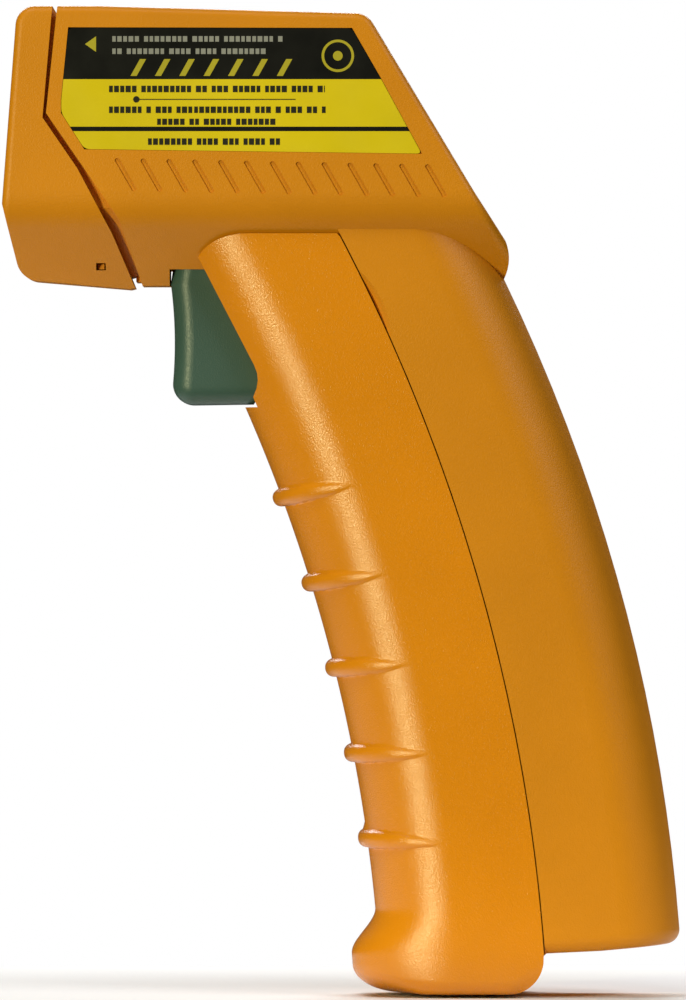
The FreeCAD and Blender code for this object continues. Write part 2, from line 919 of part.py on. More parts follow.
# ---------------------------------------------------------------- labels
def labels():
    """A thin plate in the recess on each side."""
    half = value("Sizes.head_width / 2")
    depth = value("Sizes.label_depth")
    thick = value("Sizes.label_thickness")
    gap = 0.06
    low = half - depth
    for side, name in ((-1, "left"), (1, "right")):
        sketch = doc.addObject("Sketcher::SketchObject", f"label_{name}_outline")
        sketch.Placement = FreeCAD.Placement(Vector(), FreeCAD.Rotation(X_AXIS, 90))
        draw(sketch, [label_outline()])
        ring = doc.addObject("Part::Offset2D", f"label_{name}_ring")
        ring.Source = sketch
        ring.Join = 2
        ring.Value = -gap
        plate = doc.addObject("Part::Extrusion", f"label_{name}_plate")
        plate.Base = ring
        plate.DirMode = "Normal"
        plate.Solid = True
        bind(plate, "LengthFwd", "Sizes.label_thickness")
        # the sketch's normal points to -Y
        plate.Placement.Base.y = -low if side < 0 else low + thick
        keep(plate, f"side_label_{name}")


# --------------------------------------------------------------- display
def display():
    bezel = cut(
        "bezel_body",
        display_frame("bezel_plate", (-13.45, -16.95, -0.95), (12.85, 16.95, 0.0)),
        display_frame("bezel_opening", (-9.6, -13.6, -2.0), (8.8, 13.6, 1.0)),
    )
    keep(bezel, "display_bezel")
    keep(display_frame("window_plate", (-9.5, -13.5, -0.95), (8.7, 13.5, -0.15)), "display_window")
    keep(display_frame("lcd_plate", (-10.2, -14.4, -3.6), (9.4, 14.4, -1.6)), "lcd_panel")
    keep(display_frame("backlight_plate", (-9.0, -14.4, -5.6), (8.2, 14.4, -3.7)), "lcd_backlight")
    strips = fuse(
        "strips",
        [
            display_frame("strip_top", (-10.2, -13.6, -6.1), (-9.1, 13.6, -3.65)),
            display_frame("strip_bottom", (8.3, -13.6, -6.1), (9.4, 13.6, -3.65)),
        ],
    )
    keep(strips, "lcd_contact_strips")
    keep(display_frame("display_board", (-11.5, -15.8, -7.4), (10.8, 15.8, -6.15)), "display_board")


# ------------------------------------------------------ boards and switch
def boards():
    z = value("Sizes.board_z")
    thick = value("Sizes.board_thickness")
    plate = box_between("main_plate", (-23.0, -15.2, z), (8.0, 15.2, z + thick))
    holes = [
        place(cylinder(f"board_hole_{i}", 1.15, 6.0), x, y, z - 2)
        for i, (x, y) in enumerate(BOARD_SCREWS)
    ]
    keep(cut("main_board_body", plate, fuse("board_holes", holes)), "main_board")
    chips = [
        box_between("processor", (-8.0, -5.0, z + thick), (2.0, 5.0, z + thick + 1.6)),
        box_between("amplifier", (-18.0, 2.0, z + thick), (-13.0, 6.0, z + thick + 1.5)),
        box_between("crystal", (-18.0, -8.5, z + thick), (-14.5, -5.0, z + thick + 3.0)),
    ]
    keep(fuse("chips", chips), "board_chips")
    screws = []
    for i, (x, y) in enumerate(BOARD_SCREWS):
        head_part = place(cylinder(f"board_screw_head_{i}", 1.9, 1.3), x, y, z + thick)
        shank = place(cylinder(f"board_screw_shank_{i}", 0.9, 5.8), x, y, z + thick - 5.8)
        screws.append(fuse(f"board_screw_{i}", [head_part, shank]))
    keep(fuse("board_screws_all", screws), "board_screws")


def switch_x():
    return value("Sizes.trigger_pin_x") + 7.0


def trigger_switch():
    """Small snap switch under the main board, and its plunger."""
    x = switch_x()
    z = value("Sizes.board_z")
    arm = value("Sizes.arm_top")
    case = box_between("switch_case", (x - 3.2, -6.4, arm + 1.5), (x + 3.2, 6.4, z))
    well = box_between("switch_well", (x - 1.0, -1.7, arm), (x + 1.0, 1.7, arm + 3.6))
    keep(cut("switch_case_body", case, well), "trigger_switch")
    half = 0.8
    foot = arm + 0.03 + half
    plunger = fuse(
        "plunger",
        [
            box_between("plunger_stem", (x - half, -1.6, foot), (x + half, 1.6, arm + 2.4)),
            along_y("plunger_foot", half, x, foot, -1.6, 1.6),
        ],
    )
    keep(plunger, "switch_plunger")


# --------------------------------------------------------------- trigger
def trigger():
    x = value("Sizes.trigger_pin_x")
    z = value("Sizes.trigger_pin_z")
    half = value("Sizes.trigger_half")
    outline = [
        (-25.7, 114.0),
        (-26.35, 109.8, 70.0, -1),
        (-26.4, 91.0),
        (-13.6, 91.2),
        (-12.3, 93.6),
        (-12.2, 97.5),
        (-13.4, 109.0),
        (-16.5, 114.0),
    ]
    body = new_body("trigger_body")
    pad(body, "trigger_pad", "XZ_Plane", [outline], "2 * Sizes.trigger_half")
    round_edges(body, "trigger_toe_round", 3.2, near(-26.4, 0, 91.0))
    round_edges(
        body, "trigger_face_round", 3.0,
        lambda e: near(y=half)(e) and middle(e).x < -17 and middle(e).z < 113,
    )
    arm_low = (x + 1.0, -4.5, value("Sizes.arm_bottom"))
    arm_high = (-4.6, 4.5, value("Sizes.arm_top"))
    arm = box_between("trigger_arm", arm_low, arm_high)
    neck = half - 0.4
    knuckle = along_y("trigger_knuckle", 2.7, x, z, -neck, neck)
    web = box_between("trigger_neck", (x - 2.7, -neck, 111.5), (x + 2.7, neck, z))
    hole = along_y("trigger_hole", value("Sizes.pin_hole_radius"), x, z, -half - 1, half + 1)
    hollow = box_between("trigger_hollow", (-19.5, -6.0, 96.0), (-8.0, 6.0, 111.2))
    solid = fuse("trigger_solid", [body, arm, knuckle, web])
    keep(cut("trigger_cut", solid, fuse("trigger_voids", [hole, hollow])), "trigger")
    keep(along_y("trigger_pivot", value("Sizes.pin_radius"), x, z, -12.0, 12.0), "trigger_pin")


def coil(name, radius, wire, pitch, height):
    """A helical spring that stands on Z = 0; its wire has twelve sides."""
    start = Vector(radius, 0, 0)
    out = Vector(1, 0, 0)
    ahead = Vector(0, 2 * math.pi * radius, pitch).normalize()
    up = out.cross(ahead)
    turns = [2 * math.pi * i / 12 for i in range(13)]
    corners = [start + (out * math.cos(t) + up * math.sin(t)) * (wire / 2) for t in turns]
    path = Part.Wire(Part.makeHelix(pitch, height - wire, radius))
    thing = doc.addObject("Part::Feature", name)
    thing.Shape = path.makePipeShell([Part.makePolygon(corners)], True, True)
    thing.Placement.Base.z = wire / 2
    return thing


def trigger_spring():
    """Return spring between the trigger's arm and the main board."""
    low = value("Sizes.arm_top")
    height = value("Sizes.board_z") - low
    spring = coil("trigger_coil", 2.0, 0.5, 1.2, height)
    spring.Placement.Base += Vector(-8.2, 0, low)
    keep(spring, "trigger_spring")


# ------------------------------------------------------------ grip cover
def ribs():
    """Finger ribs: slices of a tube whose front stands proud of the grip."""
    proud = grip_tube("proud_tube", "0", "-Sizes.rib_rise")
    wedges = []
    thick = value("Sizes.rib_thickness")
    length = value("Sizes.rib_length")
    for i in range(RIBS):
        z = value("Sizes.rib_first_z") - i * value("Sizes.rib_pitch")
        x = value(arc_x("front", z))
        tilt = math.radians(value("Sizes.rib_tilt") - i * value("Sizes.rib_tilt_step"))
        run = Vector(math.cos(tilt), math.sin(tilt), 0)
        up = Vector(-run.y, run.x, 0)
        root = Vector(x, z, 0)
        tip = root + run * length
        start = root - run * 3
        half = up * (thick / 2)
        corners = [start + half, start - half, root - half, tip, root + half]
        wedges.append(prism(f"rib_wedge_{i}", [[(p.x, p.y) for p in corners]], 60.0))
    return common("ribs", [proud, fuse("rib_wedges", wedges)])


def toe(name, inset):
    """The foot of the cover: a block with a bowed front and round edges."""
    half = value("Sizes.grip_width / 2") - inset
    rear = value("Sizes.hinge_x") + value("Sizes.hinge_z") - inset
    front = value("Sizes.toe_front") + inset
    height = value("Sizes.toe_height") - inset
    body = new_body(name)
    outline = [(front, -half), (rear, -half), (rear, half), (front, half)]
    pad(body, name + "_pad", "XY_Plane", [outline], height - inset, "One side")
    body.Placement.Base.z = inset
    round_edges(
        body, name + "_plan_round", value("Sizes.toe_plan_round") - inset,
        lambda e: near(x=front, y=half)(e),
    )
    sole = 0.0
    round_edges(body, name + "_heel_round", value("Sizes.heel_round") - inset, near(x=rear, y=0, z=sole))
    round_edges(
        body, name + "_sole_round", 4.0 - inset,
        lambda e: near(x=front, y=0, z=sole)(e)
        or (middle(e).z < 0.2 and middle(e).x < rear - 5.2 and not near(y=0)(e)),
    )
    round_edges(body, name + "_instep_round", 3.6 - inset, near(x=front, y=0, z=height - inset))
    return body


def notch():
    """Space in front of the cover's edge beside the trigger."""
    outline = [
        (-60.0, 125.0),
        (-60.0, 90.6),
        (-14.5, 90.6, 6.0, -1),
        (-12.8, 95.4, 3.0, -1),
        (-13.4, 97.1),
        (-21.8, 113.3),
        (-24.0, 118.0),
        (-24.0, 125.0),
    ]
    return prism("notch", [outline], 60.0)


def trigger_way():
    """The opening in the cover's front that the trigger moves through."""
    half = value("Sizes.slot_half")
    return box_between("trigger_way", (-30.0, -half, 90.7), (-8.0, half, 120.0))


def cover():
    wall = value("Sizes.cover_wall")
    front = seam_side("before_seam", "-Sizes.seam_gap", True)
    above = box_between("cover_zone", (-60, -40, 6.0), (60, 40, 130))
    tube = common("cover_tube", [grip, front, above])
    outer = fuse("cover_outer", [tube, ribs(), toe("toe", 0.0)])
    inner_tube = common(
        "cover_inner_tube",
        [
            grip_tube("cover_inner", "Sizes.cover_wall"),
            box_between("cover_inner_zone", (-60, -40, 5.5), (60, 40, 130)),
        ],
    )
    heel_limit = box_between("heel_limit", (-60, -40, -5), (value("Sizes.hinge_x") + 2.0, 40, 30))
    inner_toe = common("inner_toe", [toe("toe_inner", wall), heel_limit])
    hollow = cut("cover_hollow", outer, fuse("cover_void", [inner_tube, inner_toe]))
    x = value("Sizes.hinge_x")
    z = value("Sizes.hinge_z")
    inner = value("Sizes.ear_inner")
    ear = value("Sizes.ear_thickness")
    spare = value("Sizes.ear_clearance")
    outer_start = inner + ear + spare
    side = value("Sizes.grip_width / 2") - wall / 2
    knuckles = [
        along_y("knuckle_middle", 2.9, x, z, -inner + spare, inner - spare),
        along_y("knuckle_right", 2.9, x, z, outer_start, side),
        along_y("knuckle_left", 2.9, x, z, -side, -outer_start),
    ]
    solid = fuse("cover_solid", [hollow] + knuckles)
    slots = [
        box_between("ear_slot_right", (x - 3.2, inner - spare, -3.0), (x + 8, outer_start, 20.0)),
        box_between("ear_slot_left", (x - 3.2, -outer_start, -3.0), (x + 8, -inner + spare, 20.0)),
    ]
    pin_hole = along_y("cover_pin_hole", value("Sizes.pin_hole_radius"), x, z, -15.1, 15.1)
    tools = slots + [pin_hole, notch(), trigger_way(), head_offset("head_clearance", "-0.3")]
    keep(cut("cover_cut", solid, fuse("cover_openings", tools)), "grip_cover")
    keep(along_y("hinge_pin_body", value("Sizes.pin_radius"), x, z, -15.0, 15.0), "hinge_pin")


# --------------------------------------------------------------- battery
def battery():
    half = value("Sizes.battery_width") / 2
    depth = value("Sizes.battery_depth") / 2
    total = value("Sizes.battery_total")
    body_top = -total / 2 + value("Sizes.battery_body")
    case = in_battery_frame("battery_case", (-depth, -half, -total / 2), (depth, half, body_top))
    doc.recompute()
    rounded = doc.addObject("Part::Fillet", "battery_round")
    rounded.Base = case
    rounded.Edges = [
        (i, 2.2, 2.2)
        for i, e in enumerate(case.Shape.Edges, start=1)
        if abs(e.Length - value("Sizes.battery_body")) < 0.01
    ]
    doc.recompute()
    turn = FreeCAD.Rotation(Y_AXIS, value("Sizes.battery_tilt"))
    origin = Vector(value("Sizes.battery_x"), 0, value("Sizes.battery_z"))
    studs = []
    for side, radius in ((-1, 2.8), (1, 3.6)):
        stud = cylinder(f"battery_stud_{side + 1}", radius, total / 2 - body_top)
        stud.Placement = FreeCAD.Placement(origin + turn.multVec(Vector(0, side * 6.35, body_top)), turn)
        studs.append(stud)
    keep(fuse("battery_body_all", [rounded] + studs), "battery")
    snap = in_battery_frame("snap_plate", (-6.3, -12.6, total / 2 + 0.02), (6.3, 12.6, total / 2 + 3.0))
    keep(snap, "battery_snap")


def battery_leads():
    """Two wires from the snap up through the bulkhead to the main board."""
    turn = FreeCAD.Rotation(Y_AXIS, value("Sizes.battery_tilt"))
    origin = Vector(value("Sizes.battery_x"), 0, value("Sizes.battery_z"))
    start = origin + turn.multVec(Vector(1.5, 7.0, value("Sizes.battery_total") / 2 + 3.0))
    wires = []
    for i, y in enumerate((6.2, 7.8)):
        stops = [
            Vector(start.x, y, start.z),
            Vector(start.x - 1.4, y, start.z + 5.2),
            Vector(start.x + 6.5, y, start.z + 11.8),
            Vector(6.2, y, value("Sizes.board_z") - 0.35),
        ]
        runs = []
        here = stops[0]
        for a, b, c in zip(stops, stops[1:], stops[2:]):
            into = (b - a).normalize()
            out = (c - b).normalize()
            angle = into.getAngle(out)
            setback = 0.45 * min((b - a).Length, (c - b).Length)
            radius = setback / math.tan(angle / 2)
            first = b - into * setback
            last = b + out * setback
            halfway = (out - into).normalize()
            centre = b + halfway * (radius / math.cos(angle / 2))
            top = centre - halfway * radius
            runs.append(Part.LineSegment(here, first).toShape())
            runs.append(Part.Arc(first, top, last).toShape())
            here = last
        runs.append(Part.LineSegment(here, stops[-1]).toShape())
        path = Part.Wire(runs)
        section = Part.Wire(Part.Circle(stops[0], stops[1] - stops[0], 0.6).toShape())
        wire = doc.addObject("Part::Feature", f"lead_{i}")
        wire.Shape = path.makePipeShell([section], True, False)
        wires.append(wire)
    doc.recompute()
    keep(fuse("leads", wires), "battery_leads")


def unit_switch():
    """Slide switch in the top of the battery bay that picks the unit."""
    face = value(arc_x("seam", 93.8)) + value("Sizes.seam_gap + Sizes.bay_setback")
    case = box_between("unit_case", (face - 0.9, -8.0, 92.1), (face + 4.0, 0.0, 95.5))
    well = box_between("unit_well", (face - 2.0, -6.6, 92.9), (face + 1.2, -1.4, 94.7))
    keep(cut("unit_case_body", case, well), "unit_switch")
    knob = box_between("unit_knob", (face - 2.2, -6.3, 93.1), (face + 1.0, -4.0, 94.5))
    keep(knob, "unit_slider")


# ---------------------------------------------------------------- screws
def housing_screws():
    made = []
    for i, (x, z) in enumerate(SCREWS):
        shank = along_y(f"shank_{i}", 1.2, x, z, -9.0, 3.02)
        screw_head = along_y(f"screw_head_{i}", 2.1, x, z, 3.02, 4.8)
        slots = fuse(
            f"cross_{i}",
            [
                box_between(f"cross_flat_{i}", (x - 1.3, 3.9, z - 0.25), (x + 1.3, 6.0, z + 0.25)),
                box_between(f"cross_tall_{i}", (x - 0.25, 3.9, z - 1.3), (x + 0.25, 6.0, z + 1.3)),
            ],
        )
        made.append(cut(f"screw_{i}", fuse(f"screw_blank_{i}", [shank, screw_head]), slots))
    keep(fuse("screws", made), "housing_screws")


def check_and_write():
    """Stops if any feature failed, then writes one STEP file per sub-part."""
    doc.recompute()
    for thing in doc.Objects:
        failed = [state for state in thing.State if state in ("Invalid", "Error")]
        if failed:
            raise RuntimeError(f"{thing.Label}: {failed}")
    for thing in parts:
        if thing.Shape.isNull() or not thing.Shape.isValid() or not thing.Shape.Solids:
            raise RuntimeError(f"{thing.Label}: bad shape")
    os.makedirs("parts", exist_ok=True)
    for thing in parts:
        thing.Shape.exportStep(f"parts/{thing.Label}.step")
        print(f"{thing.Label:22s} {len(thing.Shape.Solids):3d} solids {thing.Shape.Volume:10.1f} mm3")


head = head_block()
grip = grip_tube("grip_tube", "0")
halves(housing())
nose_cap()
optics()
labels()
display()
boards()
trigger_switch()
trigger()
trigger_spring()
cover()
battery()
battery_leads()
unit_switch()
housing_screws()
check_and_write()
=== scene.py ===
import json
import math

import bmesh
import bpy
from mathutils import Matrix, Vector


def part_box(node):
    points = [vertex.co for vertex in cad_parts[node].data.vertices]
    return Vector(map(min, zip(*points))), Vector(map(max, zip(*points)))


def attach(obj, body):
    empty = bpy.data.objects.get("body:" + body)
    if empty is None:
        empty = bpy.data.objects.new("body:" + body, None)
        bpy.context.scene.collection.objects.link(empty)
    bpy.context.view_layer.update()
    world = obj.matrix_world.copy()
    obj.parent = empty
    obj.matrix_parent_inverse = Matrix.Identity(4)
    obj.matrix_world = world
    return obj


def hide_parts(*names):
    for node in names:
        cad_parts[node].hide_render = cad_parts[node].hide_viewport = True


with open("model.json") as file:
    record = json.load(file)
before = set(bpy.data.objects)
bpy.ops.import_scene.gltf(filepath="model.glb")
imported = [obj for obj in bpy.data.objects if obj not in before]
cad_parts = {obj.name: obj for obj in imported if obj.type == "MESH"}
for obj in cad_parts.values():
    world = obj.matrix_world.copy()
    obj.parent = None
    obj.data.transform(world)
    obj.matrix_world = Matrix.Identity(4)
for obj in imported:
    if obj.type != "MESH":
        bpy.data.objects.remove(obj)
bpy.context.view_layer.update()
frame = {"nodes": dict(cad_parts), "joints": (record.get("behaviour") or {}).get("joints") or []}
nodes = frame["nodes"]

MM = 0.001

# ------------------------------------------------------------ node helpers
def material(name):
    """An empty node material with its Principled shader."""
    mat = bpy.data.materials.new(name)
    mat.use_nodes = True
    shader = mat.node_tree.nodes["Principled BSDF"]
    return mat, mat.node_tree, shader


def add(tree, kind, **settings):
    node = tree.nodes.new(kind)
    for key, setting in settings.items():
        if key in node.inputs:
            node.inputs[key].default_value = setting
        else:
            setattr(node, key, setting)
    return node


def place_coords(tree):
    """Coordinates in metres in the part's own frame."""
    return tree.nodes.new("ShaderNodeTexCoord").outputs["Object"]


def noise(tree, scale, detail=2.0, rough=0.5):
    node = add(tree, "ShaderNodeTexNoise", Scale=scale, Detail=detail, Roughness=rough)
    tree.links.new(place_coords(tree), node.inputs["Vector"])
    return node.outputs["Fac"]


def spread(tree, source, low, high, from_low=0.3, from_high=0.7):
    """Maps a 0 to 1 pattern onto a range of values."""
    node = tree.nodes.new("ShaderNodeMapRange")
    node.inputs["From Min"].default_value = from_low
    node.inputs["From Max"].default_value = from_high
    node.inputs["To Min"].default_value = low
    node.inputs["To Max"].default_value = high
    tree.links.new(source, node.inputs["Value"])
    return node.outputs["Result"]


def mix_colours(tree, factor, first, second):
    node = tree.nodes.new("ShaderNodeMix")
    node.data_type = "RGBA"
    sockets = {s.identifier: s for s in node.inputs}
    sockets["A_Color"].default_value = (*first, 1.0)
    sockets["B_Color"].default_value = (*second, 1.0)
    tree.links.new(factor, sockets["Factor_Float"])
    return [s for s in node.outputs if s.identifier == "Result_Color"][0]


def bump(tree, shader, heights):
    """Chains bumps of (pattern, strength, distance in metres) onto a shader."""
    last = None
    for height, strength, distance in heights:
        node = add(tree, "ShaderNodeBump", Strength=strength, Distance=distance)
        tree.links.new(height, node.inputs["Height"])
        if last:
            tree.links.new(last, node.inputs["Normal"])
        last = node.outputs["Normal"]
    tree.links.new(last, shader.inputs["Normal"])


def shaded(colour, factor):
    return tuple(min(channel * factor, 1.0) for channel in colour)


# --------------------------------------------------------------- materials
def moulded_plastic(name, colour, rough, grain=1.0, specular=0.5):
    """Moulded plastic with a fine spark-eroded grain and faint mottling."""
    mat, tree, shader = material(name)
    mottle = noise(tree, 45.0, 3.0)
    speck = noise(tree, 4400.0, 2.0, 0.6)
    patches = spread(tree, mottle, 0, 1)
    base = mix_colours(tree, patches, shaded(colour, 0.955), shaded(colour, 1.04))
    tree.links.new(base, shader.inputs["Base Color"])
    tree.links.new(spread(tree, speck, rough - 0.05, rough + 0.07), shader.inputs["Roughness"])
    shader.inputs["Specular IOR Level"].default_value = specular
    waves = noise(tree, 60.0, 1.0)
    bump(tree, shader, [(waves, 0.08, 0.0004), (speck, 0.7 * grain, 0.00008)])
    return mat


def glossy_plastic(name, colour, rough=0.3, speck_size=900.0, specular=0.3):
    """Smooth moulded or printed plastic with faint handling marks."""
    mat, tree, shader = material(name)
    mottle = noise(tree, 70.0, 4.0)
    patches = spread(tree, mottle, 0, 1)
    base = mix_colours(tree, patches, shaded(colour, 0.93), shaded(colour, 1.05))
    tree.links.new(base, shader.inputs["Base Color"])
    smear = noise(tree, 160.0, 5.0)
    tree.links.new(spread(tree, smear, rough - 0.05, rough + 0.1), shader.inputs["Roughness"])
    shader.inputs["Specular IOR Level"].default_value = specular
    bump(tree, shader, [(noise(tree, speck_size, 1.0), 0.08, 0.00005)])
    return mat


def metal(name, colour, rough, brushed=1800.0):
    """Bright metal with fine drawing marks."""
    mat, tree, shader = material(name)
    marks = noise(tree, brushed, 2.0)
    streaks = spread(tree, marks, 0, 1)
    base = mix_colours(tree, streaks, shaded(colour, 0.85), shaded(colour, 1.05))
    tree.links.new(base, shader.inputs["Base Color"])
    tree.links.new(spread(tree, marks, rough - 0.06, rough + 0.08), shader.inputs["Roughness"])
    shader.inputs["Metallic"].default_value = 1.0
    bump(tree, shader, [(marks, 0.1, 0.00003)])
    return mat


def banded_sleeve(name, lower, upper, axis, split):
    """Printed film sleeve in two colours that meet at a height along an axis."""
    mat, tree, shader = material(name)
    along = tree.nodes.new("ShaderNodeVectorMath")
    along.operation = "DOT_PRODUCT"
    along.inputs[1].default_value = axis
    tree.links.new(place_coords(tree), along.inputs[0])
    edge = spread(tree, along.outputs["Value"], 0, 1, split - 0.0001, split + 0.0001)
    tree.links.new(mix_colours(tree, edge, lower, upper), shader.inputs["Base Color"])
    smear = noise(tree, 160.0, 5.0)
    tree.links.new(spread(tree, smear, 0.24, 0.38), shader.inputs["Roughness"])
    bump(tree, shader, [(smear, 0.08, 0.00005)])
    return mat


def clear_glass(name, tint, rough=0.05, alpha=0.35):
    mat, tree, shader = material(name)
    dust = noise(tree, 220.0, 5.0)
    base = mix_colours(tree, spread(tree, dust, 0, 1), shaded(tint, 0.96), tint)
    tree.links.new(base, shader.inputs["Base Color"])
    tree.links.new(spread(tree, dust, rough, rough + 0.06), shader.inputs["Roughness"])
    shader.inputs["Alpha"].default_value = alpha
    shader.inputs["IOR"].default_value = 1.49
    return mat


def grooved_lens(name, colour, centre, pitch):
    """Milky plastic with fine concentric steps round an axis along X; painted shade darkens the
    bottom of each step.
    """
    mat, tree, shader = material(name)
    mapping = tree.nodes.new("ShaderNodeMapping")
    mapping.inputs["Location"].default_value = (0.0, -centre[1], -centre[2])
    mapping.inputs["Scale"].default_value = (0.0, 1.0, 1.0)
    tree.links.new(place_coords(tree), mapping.inputs["Vector"])
    length = tree.nodes.new("ShaderNodeVectorMath")
    length.operation = "LENGTH"
    tree.links.new(mapping.outputs["Vector"], length.inputs[0])
    step = tree.nodes.new("ShaderNodeMath")
    step.operation = "PINGPONG"
    step.inputs[1].default_value = pitch
    tree.links.new(length.outputs["Value"], step.inputs[0])
    height = spread(tree, step.outputs[0], 0, 1, 0, pitch)
    # painted shade: the tint is darker at the bottom of each step, where the groove's shade falls
    tint = mix_colours(tree, height, shaded(colour, 0.9), colour)
    tree.links.new(tint, shader.inputs["Base Color"])
    tree.links.new(spread(tree, height, 0.22, 0.36, 0, 1), shader.inputs["Roughness"])
    shader.inputs["Subsurface Weight"].default_value = 0.3
    shader.inputs["Subsurface Radius"].default_value = (0.002, 0.002, 0.002)
    bump(tree, shader, [(height, 0.5, 0.0002)])
    return mat


ORANGE = (0.70, 0.238, 0.003)
HOUSING_ORANGE = (0.62, 0.225, 0.005)
housing_skin = moulded_plastic("housing_plastic", HOUSING_ORANGE, 0.38, 1.0, 0.25)
cover_skin = moulded_plastic("cover_plastic", ORANGE, 0.21, 1.0, 0.55)
trigger_skin = moulded_plastic("trigger_plastic", (0.046, 0.096, 0.086), 0.36, 0.7, 0.4)
black_skin = moulded_plastic("black_plastic", (0.018, 0.018, 0.02), 0.5, 0.8, 0.4)
white_skin = moulded_plastic("white_plastic", (0.72, 0.71, 0.66), 0.45, 0.5, 0.5)
label_yellow = glossy_plastic("label_yellow", (0.66, 0.51, 0.006), 0.34)
label_black = glossy_plastic("label_black", (0.006, 0.006, 0.006), 0.32, 900.0, 0.2)
print_black = glossy_plastic("print_black", (0.016, 0.015, 0.010), 0.42, 900.0, 0.2)
print_yellow = glossy_plastic("print_yellow", (0.40, 0.34, 0.02), 0.42)
print_grey = glossy_plastic("print_grey", (0.25, 0.25, 0.24), 0.42)
bezel_skin = glossy_plastic("bezel_black", (0.014, 0.014, 0.016), 0.28)
window_skin = clear_glass("window_clear", (0.9, 0.93, 0.92), 0.04, 0.16)
lcd_skin = glossy_plastic("lcd_grey_green", (0.31, 0.36, 0.27), 0.2)
lcd_ink = glossy_plastic("lcd_ink", (0.05, 0.06, 0.05), 0.25)
diffuser = glossy_plastic("diffuser_white", (0.78, 0.78, 0.74), 0.3)
elastomer = moulded_plastic("elastomer_grey", (0.25, 0.25, 0.26), 0.6, 0.4, 0.3)
board_skin = glossy_plastic("board_green", (0.016, 0.12, 0.045), 0.3, 500.0)
chip_skin = moulded_plastic("chip_black", (0.02, 0.02, 0.02), 0.5, 0.5, 0.4)
steel = metal("steel", (0.62, 0.61, 0.59), 0.3)
nickel = metal("nickel", (0.70, 0.67, 0.61), 0.18)
brass = metal("brass", (0.75, 0.53, 0.22), 0.24)
laser_glass = clear_glass("laser_glass", (0.6, 0.05, 0.05), 0.03, 0.6)
BATTERY_TILT = math.radians(-15.2)
battery_axis = (math.sin(BATTERY_TILT), 0.0, math.cos(BATTERY_TILT))
SLEEVE_BLACK = (0.02, 0.02, 0.024)
SLEEVE_GREY = (0.26, 0.27, 0.29)
SLEEVE_SPLIT = 0.062
battery_wrap = banded_sleeve(
    "battery_sleeve", SLEEVE_BLACK, SLEEVE_GREY, battery_axis, SLEEVE_SPLIT)
wire_skin = glossy_plastic("wire_red", (0.35, 0.015, 0.012), 0.4)

optic = sum(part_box("lens"), Vector()) / 2
lens_skin = grooved_lens("lens_milky", (0.66, 0.65, 0.62), optic, 0.0004)

CAD_FINISH = {
    "left_housing": housing_skin,
    "right_housing": housing_skin,
    "nose_cap": housing_skin,
    "trigger": trigger_skin,
    "hinge_pin": steel,
    "trigger_pin": steel,
    "trigger_spring": steel,
    "trigger_switch": black_skin,
    "switch_plunger": white_skin,
    "lens_tube": black_skin,
    "lens_ring": black_skin,
    "lens": lens_skin,
    "sensor_can": nickel,
    "sensor_board": board_skin,
    "laser_module": brass,
    "laser_lens": laser_glass,
    "display_bezel": bezel_skin,
    "display_window": window_skin,
    "lcd_panel": lcd_skin,
    "lcd_backlight": diffuser,
    "lcd_contact_strips": elastomer,
    "display_board": board_skin,
    "main_board": board_skin,
    "board_chips": chip_skin,
    "board_screws": steel,
    "battery": battery_wrap,
    "battery_snap": black_skin,
    "battery_leads": wire_skin,
    "unit_switch": black_skin,
    "unit_slider": white_skin,
    "housing_screws": steel,
}


def finish_cad():
    """Gives every CAD node that stays its material."""
    for name, mat in CAD_FINISH.items():
        thing = nodes[name]
        for i in range(max(len(thing.material_slots), 1)):
            if not thing.material_slots:
                thing.data.materials.append(mat)
            thing.material_slots[i].material = mat


# ------------------------------------------------------------ mesh helpers
def new_piece(name, mesh, body, mat):
    """A visual piece that moves with a body and takes a slot's finish."""
    piece = bpy.data.objects.new(name, mesh)
    bpy.context.scene.collection.objects.link(piece)
    piece.data.materials.append(mat)
    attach(piece, body)
    return piece


def mesh_from(name, points, faces):
    """A mesh with outward normals from points in millimetres."""
    mesh = bpy.data.meshes.new(name)
    mesh.from_pydata([tuple(c * MM for c in p) for p in points], [], faces)
    mesh.validate()
    bm = bmesh.new()
    bm.from_mesh(mesh)
    bmesh.ops.recalc_face_normals(bm, faces=bm.faces)
    bm.to_mesh(mesh)
    bm.free()
    return mesh


def loft(name, rings):
    """A closed solid through rings of points that all have the same count."""
    count = len(rings[0])
    points = [p for ring in rings for p in ring]
    faces = []
    for i in range(len(rings) - 1):
        for j in range(count):
            k = (j + 1) % count
            faces.append((i * count + j, i * count + k, (i + 1) * count + k, (i + 1) * count + j))
    faces.append(tuple(range(count))[::-1])
    last = (len(rings) - 1) * count
    faces.append(tuple(range(last, last + count)))
    return mesh_from(name, points, faces)


def slab(outline, y_low, y_high):
    """Points and faces of an XZ outline given thickness along Y."""
    count = len(outline)
    points = [(x, y_low, z) for x, z in outline] + [(x, y_high, z) for x, z in outline]
    faces = [tuple(range(count)), tuple(range(count, 2 * count))[::-1]]
    faces += [(i, i + count, (i + 1) % count + count, (i + 1) % count) for i in range(count)]
    return points, faces


def slabs(name, outlines, y_low, y_high):
    """One mesh of several separate slabs."""
    points = []
    faces = []
    for outline in outlines:
        more, around = slab(outline, y_low, y_high)
        faces += [tuple(v + len(points) for v in face) for face in around]
        points += more
    return mesh_from(name, points, faces)


def smooth_by_angle(mesh, degrees=35.0):
    mesh.polygons.foreach_set("use_smooth", [True] * len(mesh.polygons))
    mesh.set_sharp_from_angle(angle=math.radians(degrees))


